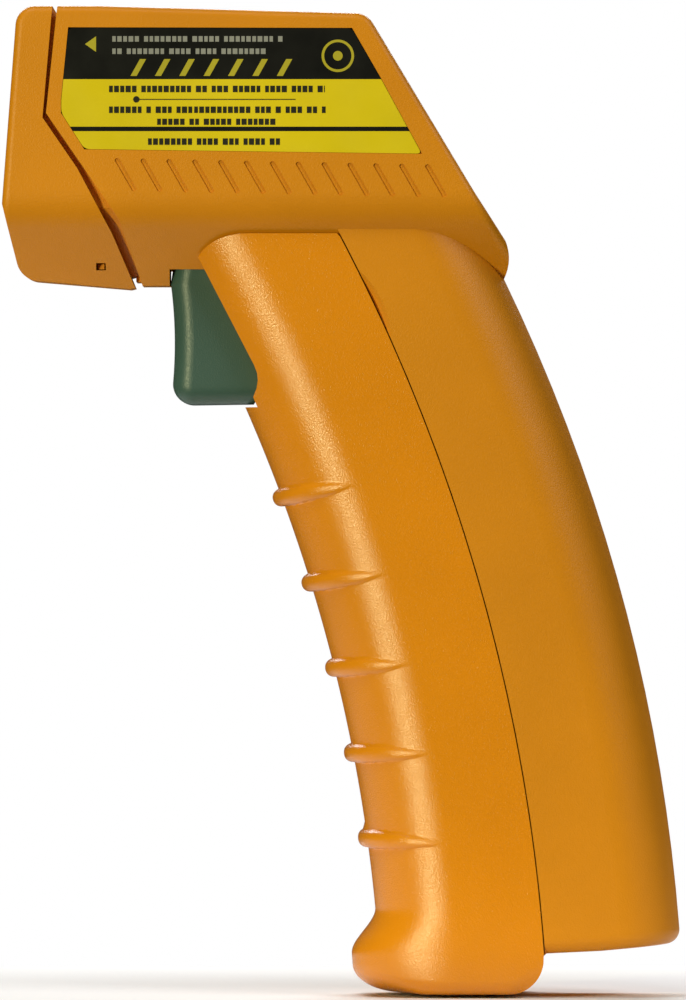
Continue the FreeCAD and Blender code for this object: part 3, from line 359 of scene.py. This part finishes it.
# -------------------------------------------------------------- grip cover
# All lengths are in millimetres. The grip's long arcs in the XZ plane are
# given by centre x, centre z and radius; SWEEP is the point that the planes
# of the cover's rings pass through.
FRONT = (-246.06, -10.73, 252.49)
SEAM = (-249.65, -13.68, 281.51)
SWEEP = (-248.0, -12.2)
HALF = 16.5
FRONT_ROUND = 12.5
WALL = 1.8
SEAM_FILL = 0.10
INNER_OVERRUN = 3.0
RIBS = [(76.75 - 13.2 * i, 10.2 - 3.2 * i) for i in range(5)]
RIB_RISE = 1.4
RIB_HALF = 1.4
RIB_LENGTH = 11.3
TOE_RISE = 4.2
TOE_TOP = 13.0
TOE_LOW = 6.2
HEEL_R = 5.6
SOLE_ROUND = 2.6
TOE_SOLE_ROUND = 1.9
TOE_TUCK = 8.0
TOE_NARROWING = 5.4
SOLE_STEPS = 14
SEAM_FOOT = (31.3, 6.5)
TOP_ANGLE = math.radians(30.5)
TOE_ANGLE = math.radians(6.2)
FINE_STEP = 0.17
COARSE_STEP = 1.1
EAR_SLOT = (6.65, 11.35)
KNUCKLE_R = 2.9
BORE_R = 1.1
hinge = [j for j in frame["joints"] if j["name"] == "cover_hinge"][0]["pos_m"]
HINGE_X = hinge[0] / MM
HINGE_Z = hinge[2] / MM
HEEL_X = (hinge[0] + hinge[2]) / MM - HEEL_R


def ray_to(arc, angle):
    """Distance from SWEEP, along a ray, to one of the arcs."""
    dx, dz = math.cos(angle), math.sin(angle)
    ox, oz = SWEEP[0] - arc[0], SWEEP[1] - arc[1]
    along = ox * dx + oz * dz
    return -along + math.sqrt(along ** 2 - (ox ** 2 + oz ** 2 - arc[2] ** 2))


def smooth_step(t):
    t = min(max(t, 0.0), 1.0)
    return t * t * (3 - 2 * t)


def rib_height(depth, along, lean):
    """How far a rib stands out at a depth behind the front, at a distance
    along the front from the height where the ribs are counted."""
    best = 0.0
    reach = 1 - (max(depth, 0.0) / RIB_LENGTH) ** 2.3
    if reach <= 0:
        return best
    half = RIB_HALF * reach
    rise = RIB_RISE * reach * (0.42 + 0.58 * lean)
    for z, tilt in RIBS:
        angle = math.asin((z - FRONT[1]) / FRONT[2])
        centre = angle * FRONT[2] + depth * math.tan(math.radians(tilt) - angle)
        t = abs(along - centre) / half
        if t < 1:
            best = max(best, rise * math.sqrt(1 - t ** 2.2))
    return best


def half_section(inset):
    """Depth, y and the lean (1 facing forwards, 0 sideways) of points from
    the middle of the front round to the side."""
    radius = FRONT_ROUND - inset
    flat = HALF - FRONT_ROUND
    spots = [(0.0, flat * i / 4, 1.0) for i in range(4)]
    turn = 26
    for i in range(turn + 1):
        a = math.pi / 2 * i / turn
        spots.append((radius * (1 - math.cos(a)), flat + radius * math.sin(a), math.cos(a)))
    return spots


def cover_ring(angle, inset, detail, rear_extra=0.0, rear_x=None):
    """One closed ring of the cover, in a plane through the sweep centre."""
    front = ray_to(FRONT, angle) + inset
    rear = ray_to(SEAM, angle) + rear_extra
    run = (math.cos(angle), math.sin(angle))
    z_front = SWEEP[1] + front * run[1]
    along = math.asin((z_front - FRONT[1]) / FRONT[2]) * FRONT[2]
    bulge = TOE_RISE * (1 - smooth_step((z_front - TOE_LOW) / (TOE_TOP - TOE_LOW)))
    if rear_x is not None:
        rear = (rear_x - SWEEP[0]) / run[0]
    half = []
    for depth, y, lean in half_section(inset):
        out = rib_height(depth, along, lean) if detail else 0.0
        side = math.sqrt(max(1 - lean ** 2, 0))
        r = front + depth - out * lean - bulge * lean
        half.append((r, y + out * side * 0.5 if y < HALF - 0.2 else y + out * 0.25))
    start = half[-1][0]
    sides = 12
    for i in range(1, sides + 1):
        half.append((start + (rear - start) * i / sides, HALF - inset))
    loop = [(r, -y) for r, y in reversed(half)] + [(r, y) for r, y in half[1:]]
    back = 6
    width = HALF - inset
    loop += [(rear, width - 2 * width * i / back) for i in range(1, back)]
    return [(SWEEP[0] + r * run[0], y, SWEEP[1] + r * run[1]) for r, y in loop]


def sole_rings(top, floor):
    """Rings that carry the lowest ring round the sole's edge to the floor."""
    rings = []
    low_x = min(p[0] for p in top)
    high_x = max(p[0] for p in top)
    for k in range(1, SOLE_STEPS + 1):
        a = math.pi / 2 * k / SOLE_STEPS
        inwards = 1 - math.cos(a)
        ring = []
        for x, y, z in top:
            ahead = smooth_step((FRONT_ROUND + low_x - x) / FRONT_ROUND)
            heel = smooth_step((x - HEEL_X) / max(high_x - HEEL_X, 0.01))
            shrink = 1 - (SOLE_ROUND + TOE_NARROWING * ahead) / HALF * inwards
            slide_x = TOE_TUCK * ahead * inwards - (x - HEEL_X) * (heel > 0) * inwards
            tall = SOLE_ROUND + TOE_SOLE_ROUND * ahead + (HEEL_R - SOLE_ROUND) * heel
            tall = min(tall, z - floor)
            ring.append((x + slide_x, y * shrink, floor + tall * (1 - math.sin(a))))
        rings.append(ring)
    return rings


def cover_angles(detail):
    """Angles of the cover's rings, from the sole to above the facets; they
    are close together where there is a rib."""
    low = math.atan2(SEAM_FOOT[1] - SWEEP[1], SEAM_FOOT[0] - SWEEP[0])
    angles = [low]
    fine = FINE_STEP / FRONT[2]
    coarse = COARSE_STEP / FRONT[2]
    centres = [math.asin((z - FRONT[1]) / FRONT[2]) for z, _ in RIBS]
    while angles[-1] < TOP_ANGLE:
        here = angles[-1]
        close = detail and any(-4.6 / FRONT[2] < here - c < 2.4 / FRONT[2] for c in centres)
        toe = here < TOE_ANGLE
        angles.append(here + (fine if close else 2.2 * fine if toe else coarse))
    return angles


def bake_modifiers(piece):
    """Applies a piece's modifiers to its mesh."""
    bpy.context.view_layer.update()
    deps = bpy.context.evaluated_depsgraph_get()
    baked = bpy.data.meshes.new_from_object(piece.evaluated_get(deps))
    piece.modifiers.clear()
    piece.data = baked


def carve(piece, mesh):
    """Takes a closed mesh away from a piece."""
    tool = bpy.data.objects.new("tool_" + mesh.name, mesh)
    bpy.context.scene.collection.objects.link(tool)
    cut = piece.modifiers.new("cut_" + mesh.name, "BOOLEAN")
    cut.operation = "DIFFERENCE"
    cut.solver = "EXACT"
    cut.object = tool
    bake_modifiers(piece)
    bpy.data.objects.remove(tool)


def cover_void():
    """The space inside the cover, open along the seam."""
    rings = []
    for angle in cover_angles(False):
        low_part = SWEEP[1] + (HINGE_X - SWEEP[0]) * math.tan(angle) < 6.6
        rear_x = HINGE_X + 1.6 if low_part else None
        rings.append(cover_ring(angle, WALL, False, INNER_OVERRUN, rear_x))
    base = [[(x, y, WALL) for x, y, z in rings[0]]]
    return loft("void", base + rings)


def seam_corner():
    """Outline that rounds the cover's top corner beside the seam."""
    peak = Vector((-0.68, 117.7))
    start = peak + Vector((-0.7, 0.0))
    end = peak + Vector((0.33, -0.62))
    curve = []
    for i in range(9):
        t = i / 8
        curve.append(tuple(start * (1 - t) ** 2 + peak * 2 * t * (1 - t) + end * t ** 2))
    return curve + [(2.0, end.y), (2.0, 120.0), (start.x, 120.0)]


def head_room():
    """The head with clearance, which the cover's top edge follows."""
    lift = 0.42
    bottom = 109.5 - lift
    side = 127.6 - lift
    profile = [(-26, side), (-7.9 - lift, bottom), (7.9 + lift, bottom), (26, side),
               (26, 150), (-26, 150)]
    return loft("head_room", [[(x, y, z) for y, z in profile] for x in (-60, 60)])


def cover_cutters():
    """Everything that is taken away from the cover's solid, in order."""
    notch = [(-60, 125), (-60, 91.05), (-14.5, 91.05), (-14.1, 91.4), (-13.6, 92.2),
             (-13.05, 93.6), (-12.85, 94.8), (-12.95, 95.9), (-13.4, 97.1),
             (-21.8, 113.3), (-24, 118), (-24, 125)]
    way = [(-30, 90.7), (-8, 90.7), (-8, 120), (-30, 120)]
    cutters = [
        cover_void(),
        slabs("notch", [notch], -30, 30),
        slabs("trigger_way", [way], -10.4, 10.4),
        slabs("corner", [seam_corner()], -30, 30),
    ]
    left, right = HINGE_X - 3.2, HINGE_X + 8
    ear = [(left, -3), (right, -3), (right, 20), (left, 20)]
    for side in (1, -1):
        cutters.append(slabs("slot", [ear], *sorted(side * y for y in EAR_SLOT)))
    return cutters + [head_room()]


def build_cover():
    outer = [cover_ring(angle, 0.0, True, SEAM_FILL) for angle in cover_angles(True)]
    foot = sole_rings(outer[0], 0.0)
    shell = loft("grip_cover_shell", foot[::-1] + outer)
    piece = new_piece("grip_cover_shell", shell, "cover", cover_skin)
    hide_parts("grip_cover")
    for mesh in cover_cutters():
        carve(piece, mesh)
    smooth_by_angle(piece.data, 38)


def knuckle_outline():
    """The hinge barrel's outline in XZ with the web that joins it to the
    cover's sole."""
    barrel = []
    for k in range(23):
        a = math.radians(-20 + 10 * k)
        barrel.append((HINGE_X + KNUCKLE_R * math.cos(a), HINGE_Z + KNUCKLE_R * math.sin(a)))
    return barrel + [(HINGE_X - KNUCKLE_R, 1.2), (HINGE_X + 2.0, 1.2)]


def build_knuckles():
    """Three hinge knuckles inside the cover's heel, each bored for the pin."""
    for name, low, high in (("middle", -6.6, 6.6), ("right", 11.4, 15.2), ("left", -15.2, -11.4)):
        mesh = slabs(f"hinge_knuckle_{name}", [knuckle_outline()], low, high)
        piece = new_piece(f"hinge_knuckle_{name}", mesh, "cover", cover_skin)
        carve(piece, slabs("bore", [disc(HINGE_X, HINGE_Z, BORE_R, 32)], -20, 20))
        smooth_by_angle(piece.data)


# ------------------------------------------------------------------ labels
LABEL = [(-42.0, 149.1), (-43.1, 138.0), (-43.1, 135.9), (-39.5, 130.3),
         (12.5, 129.6), (6.3, 141.0), (1.7, 149.0)]
BAND = 141.1
STRIPE = (133.1, 133.8)
LABEL_BASE = 18.4
LABEL_FACE = 18.9
INK = 0.035
RING = (-0.5, 144.7)


def inset_outline(outline, gap):
    """The outline moved inwards; it runs anticlockwise."""
    result = []
    count = len(outline)
    for i in range(count):
        a, b, c = (Vector(outline[(i + k) % count]) for k in (-1, 0, 1))
        into = (b - a).normalized()
        out = (c - b).normalized()
        normal = (Vector((-into.y, into.x)) + Vector((-out.y, out.x))).normalized()
        result.append(tuple(b + normal * gap / max(normal.dot(Vector((-into.y, into.x))), 0.3)))
    return result


def clip(outline, z_low, z_high):
    """The part of an outline between two heights."""
    for limit, sign in ((z_low, 1), (z_high, -1)):
        kept = []
        for i, p in enumerate(outline):
            q = outline[(i + 1) % len(outline)]
            inside_p = sign * (p[1] - limit) >= 0
            inside_q = sign * (q[1] - limit) >= 0
            if inside_p:
                kept.append(p)
            if inside_p != inside_q:
                t = (limit - p[1]) / (q[1] - p[1])
                kept.append((p[0] + t * (q[0] - p[0]), limit))
        outline = kept
    return outline


def round_corners(outline, radius, steps=5):
    """The outline with each corner replaced by a curve."""
    result = []
    count = len(outline)
    for i in range(count):
        a, b, c = (Vector(outline[(i + k) % count]) for k in (-1, 0, 1))
        r = min(radius, (b - a).length * 0.4, (c - b).length * 0.4)
        p = b + (a - b).normalized() * r
        q = b + (c - b).normalized() * r
        for k in range(steps + 1):
            t = k / steps
            result.append(tuple((1 - t) ** 2 * p + 2 * t * (1 - t) * b + t ** 2 * q))
    return result


def dashes(z, start, stop, height, words, letter=0.72, gap=0.2):
    """A line of greeked text: words of small plain blocks, no lettering."""
    bars = []
    x = start
    i = 0
    while x < stop - 0.4:
        for k in range(words[i % len(words)]):
            wide = letter * (0.8 + 0.3 * ((3 * k + 2 * i) % 5) / 4)
            end = min(x + wide, stop)
            low = z - height / 2
            high = z + height / 2
            if end > x + 0.1:
                bars.append([(x, low), (end, low), (end, high), (x, high)])
            x = end + gap
        x += 0.55
        i += 1
    return bars


def disc(x, z, radius, steps=28):
    turns = [2 * math.pi * i / steps for i in range(steps)]
    return [(x + radius * math.cos(t), z + radius * math.sin(t)) for t in turns]


def ring_mesh(name, x, z, outer, inner, y_low, y_high, steps=48):
    """A flat ring with thickness along Y."""
    points = []
    faces = []
    for y in (y_low, y_high):
        for radius in (outer, inner):
            points += [(px, y, pz) for px, pz in disc(x, z, radius, steps)]
    for i in range(steps):
        j = (i + 1) % steps
        faces.append((i, j, steps + j, steps + i))
        faces.append((2 * steps + i, 3 * steps + i, 3 * steps + j, 2 * steps + j))
        faces.append((i, 2 * steps + i, 2 * steps + j, j))
        faces.append((steps + i, steps + j, 3 * steps + j, 3 * steps + i))
    return mesh_from(name, points, faces)


def build_label(side):
    """The printed plate on one side: -1 is the left side, 1 the right."""
    name = "left" if side < 0 else "right"
    outline = inset_outline(round_corners(LABEL, 0.9), 0.05)

    def span(low, high):
        return tuple(sorted((side * low, side * high)))

    bands = [
        (clip(outline, BAND, 160), label_black),
        (clip(outline, STRIPE[1], BAND), label_yellow),
        (clip(outline, *STRIPE), label_black),
        (clip(outline, 100, STRIPE[0]), label_yellow),
    ]
    first = None
    for i, (band, mat) in enumerate(bands):
        mesh = slabs(f"label_{name}_{i}", [band], *span(LABEL_BASE, LABEL_FACE))
        piece = new_piece(f"label_{name}_band_{i}", mesh, "housing", mat)
        first = first or piece
    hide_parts(f"side_label_{name}")
    grey = dashes(147.3, -35.2, -8.8, 0.85, (5, 8, 5, 9), 0.66, 0.24)
    grey += dashes(145.4, -35.2, -11.3, 0.85, (2, 7, 4, 4, 8), 0.66, 0.24)
    warning = []
    for i in range(7):
        x = -32.4 + i * 3.75
        warning.append([(x, 141.6), (x + 0.95, 141.6), (x + 2.4, 144.2), (x + 1.45, 144.2)])
    warning.append([(-39.4, 146.5), (-37.7, 145.3), (-37.7, 147.7)])
    warning.append(disc(*RING, 0.75))
    black = dashes(139.6, -35.7, -2.5, 1.0, (5, 9, 2, 3, 5, 4, 4))
    black += dashes(136.4, -35.7, -22.9, 1.0, (6, 1, 3))
    black += dashes(136.4, -22.6, -2.3, 1.0, (10, 3, 1, 3, 2))
    black += dashes(134.55, -28.3, -9.7, 0.95, (5, 2, 5, 7))
    black += dashes(131.5, -29.7, -8.5, 1.0, (8, 4, 3, 4, 2))
    black.append([(-31.0, 137.93), (-7.0, 137.93), (-7.0, 138.07), (-31.0, 138.07)])
    black.append(disc(-31.5, 138.0, 0.5, 16))
    depth = span(LABEL_FACE - 0.1, LABEL_FACE + INK)
    inks = [
        ("grey", grey, print_grey),
        ("yellow", warning, print_yellow),
        ("black", black, print_black),
    ]
    for kind, outlines, mat in inks:
        mesh = slabs(f"print_{name}_{kind}", outlines, *depth)
        new_piece(f"print_{name}_{kind}", mesh, "housing", mat)
    mesh = ring_mesh(f"print_{name}_ring", *RING, 2.5, 2.1, *depth)
    new_piece(f"print_{name}_ring", mesh, "housing", print_yellow)


# ----------------------------------------------------------------- display
# The display's own frame, in millimetres: its centre and the slope of its
# face. Each segment of a digit is given by its place across, its place up
# and the way it runs.
DISPLAY_CENTRE = Vector((12.55, 0.0, 137.05))
DISPLAY_TILT = math.radians(59.04)
SEGMENT_DEPTH = (-1.62, -1.56)
SEGMENTS = [
    (0.0, 1.0, "across"), (0.0, 0.0, "across"), (0.0, -1.0, "across"),
    (-0.5, 0.5, "down"), (0.5, 0.5, "down"), (-0.5, -0.5, "down"), (0.5, -0.5, "down"),
]
DIGIT_TALL = 3.5
DIGIT_WIDE = 3.8
DIGIT_PITCH = 5.6
SEGMENT_HALF = 0.35
SEGMENT_GAP = 0.45


def build_digits():
    """Four seven-segment digits with every segment on, and two small bars."""
    down = Vector((math.cos(DISPLAY_TILT), 0.0, -math.sin(DISPLAY_TILT)))
    out = Vector((math.sin(DISPLAY_TILT), 0.0, math.cos(DISPLAY_TILT)))
    across = Vector((0.0, 1.0, 0.0))
    points = []
    faces = []

    def bar(u, v, half_u, half_v):
        start = len(points)
        for w in SEGMENT_DEPTH:
            for a, b in ((-1, -1), (1, -1), (1, 1), (-1, 1)):
                spot = DISPLAY_CENTRE + down * (u + a * half_u) + across * (v + b * half_v)
                points.append(tuple(spot + out * w))
        ring = [(i, (i + 1) % 4, (i + 1) % 4 + 4, i + 4) for i in range(4)]
        for face in [(0, 1, 2, 3), (4, 5, 6, 7)] + ring:
            faces.append(tuple(start + i for i in face))

    for digit in range(4):
        centre = -9.0 + digit * DIGIT_PITCH
        for sideways, height, way in SEGMENTS:
            half_u, half_v = DIGIT_TALL / 2 - SEGMENT_GAP, SEGMENT_HALF
            if way == "across":
                half_u, half_v = SEGMENT_HALF, DIGIT_WIDE / 2 - SEGMENT_GAP
            bar(-0.6 - height * DIGIT_TALL, centre + sideways * DIGIT_WIDE, half_u, half_v)
    for u in (3.4, 2.5):
        bar(u - 6.0, 12.4, 0.18, 0.7)
    mesh = mesh_from("lcd_segments", points, faces)
    new_piece("lcd_segments", mesh, "housing", lcd_ink)


# ------------------------------------------------------- stage and camera
FLOOR_HALF = 0.17
FLOOR_DROP = 0.0005
def build_stage():
    """A pale flat floor; the white behind it is the world."""
    points = []
    faces = []
    profile = [(-0.06, 0.0), (0.02, 0.0), (0.12, 0.0)]
    for x in (-FLOOR_HALF, FLOOR_HALF):
        points += [(x, y, z - FLOOR_DROP) for y, z in profile]
    count = len(profile)
    for i in range(count - 1):
        faces.append((i, i + 1, count + i + 1, count + i))
    mesh = bpy.data.meshes.new("studio_floor")
    mesh.from_pydata(points, [], faces)
    floor = bpy.data.objects.new("studio_floor", mesh)
    bpy.context.scene.collection.objects.link(floor)
    mat, tree, shader = material("studio_white")
    clouds = spread(tree, noise(tree, 3.0), 0, 1)
    shade = mix_colours(tree, clouds, (0.90, 0.90, 0.90), (0.93, 0.93, 0.93))
    tree.links.new(shade, shader.inputs["Base Color"])
    shader.inputs["Roughness"].default_value = 0.9
    mesh.materials.append(mat)
    mesh.polygons.foreach_set("use_smooth", [True] * len(mesh.polygons))


def soft_light(name, azimuth, elevation, distance, size, power, target, tint=(1, 1, 1)):
    """A rectangular light; azimuth 0 is the camera's side, positive to +X."""
    a, e = math.radians(azimuth), math.radians(elevation)
    away = Vector((math.sin(a) * math.cos(e), -math.cos(a) * math.cos(e), math.sin(e)))
    light = bpy.data.lights.new(name, "AREA")
    light.shape = "RECTANGLE"
    light.size, light.size_y = size
    light.energy = power
    light.color = tint
    lamp = bpy.data.objects.new(name, light)
    lamp.location = Vector(target) + away * distance
    lamp.rotation_euler = (-away).to_track_quat("-Z", "Y").to_euler()
    bpy.context.scene.collection.objects.link(lamp)
    return lamp


def build_lights():
    """A narrow warm strip for the highlight along the cover, two soft lights
    and a wash on the floor. The world is bright for the camera only."""
    middle = (0.0, 0.0, 0.08)
    warm = (1.0, 0.97, 0.52)
    soft_light("strip_left", -33, -1, 0.95, (0.055, 0.42), 6.2, middle, warm)
    soft_light("side_left", -30, 62, 1.5, (0.7, 0.5), 7.4, middle)
    soft_light("key_right", 50, 34, 1.7, (0.8, 0.6), 10.0, middle)
    soft_light("floor_wash", 180, 42, 0.66, (0.7, 0.2), 4.0, (0.0, 0.03, 0.0))
    world = bpy.data.worlds.new("studio_world")
    bpy.context.scene.world = world
    world.use_nodes = True
    tree = world.node_tree
    tree.nodes["Background"].inputs["Color"].default_value = (1.0, 1.0, 1.0, 1.0)
    seen = tree.nodes.new("ShaderNodeLightPath").outputs["Is Camera Ray"]
    tree.links.new(spread(tree, seen, 0.04, 1.0, 0, 1), tree.nodes["Background"].inputs["Strength"])


def build_camera():
    """Looks straight along +Y from far away, as a long lens does."""
    distance = 2.0
    frame_height = 0.15456
    side_plane = 0.010
    camera = bpy.data.cameras.new("camera")
    camera.sensor_fit = "VERTICAL"
    camera.sensor_height = 24.0
    camera.lens = camera.sensor_height * (distance - side_plane) / frame_height
    camera.clip_start = 0.1
    camera.clip_end = 20.0
    viewer = bpy.data.objects.new("camera", camera)
    viewer.location = (0.0003, -distance, 0.07635)
    viewer.rotation_euler = (math.pi / 2, 0.0, 0.0)
    bpy.context.scene.collection.objects.link(viewer)
    bpy.context.scene.camera = viewer
    bpy.context.scene.view_settings.view_transform = "Standard"


build_camera()
build_lights()
build_stage()
finish_cad()
build_cover()
build_knuckles()
build_digits()
build_label(-1)
build_label(1)
